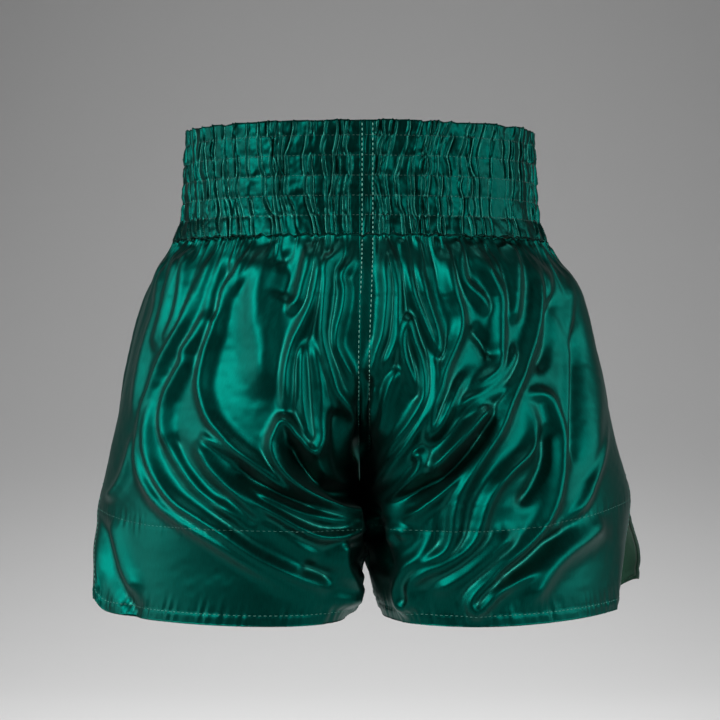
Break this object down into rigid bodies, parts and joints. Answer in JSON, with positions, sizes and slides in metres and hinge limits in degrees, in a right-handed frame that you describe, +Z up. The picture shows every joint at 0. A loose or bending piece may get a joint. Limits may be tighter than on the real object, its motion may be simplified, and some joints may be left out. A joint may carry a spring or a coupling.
{
  "type": "boxing shorts",
  "caption": "Loose satin boxing shorts with a wide shirred elastic waistband, faced and stitched hems, twin-stitched centre seams and an open slit at each side.",
  "frame": {"origin": "centre of the waist opening, in the plane of the waistband's top edge", "axes": "+Z up out of the waist opening, +X to the wearer's right across the hips, +Y to the wearer's front; the back faces -Y"},
  "size_m": [0.4304, 0.2632, 0.375],
  "materials": {
    "panel_satin": "emerald green polyester satin, glossy outside and dull inside",
    "waistband_satin": "the same satin, gathered",
    "facing_cloth": "dull reverse of the satin",
    "lining_cloth": "dull reverse of the satin, gathered",
    "elastic": "woven elastic tape, off-white",
    "thread": "light green polyester sewing thread"
  },
  "bodies": {
    "root": {"back_left_panel": "panel_satin", "back_right_panel": "panel_satin", "front_left_panel": "panel_satin", "front_right_panel": "panel_satin", "back_left_hem_facing": "facing_cloth", "back_right_hem_facing": "facing_cloth", "front_left_hem_facing": "facing_cloth", "front_right_hem_facing": "facing_cloth", "waistband_casing_left": "waistband_satin", "waistband_casing_right": "waistband_satin", "waistband_lining_left": "lining_cloth", "waistband_lining_right": "lining_cloth", "elastic_strip_1": "elastic", "elastic_strip_2": "elastic", "elastic_strip_3": "elastic", "elastic_strip_4": "elastic", "elastic_strip_5": "elastic", "waistband_channel_threads": "thread", "back_centre_seam_threads": "thread", "front_centre_seam_threads": "thread", "left_side_seam_thread": "thread", "right_side_seam_thread": "thread", "left_inseam_thread": "thread", "right_inseam_thread": "thread", "left_hem_threads": "thread", "right_hem_threads": "thread", "left_facing_threads": "thread", "right_facing_threads": "thread", "left_slit_threads": "thread", "right_slit_threads": "thread", "left_slit_bartack": "thread", "right_slit_bartack": "thread"}
  },
  "joints": []
}
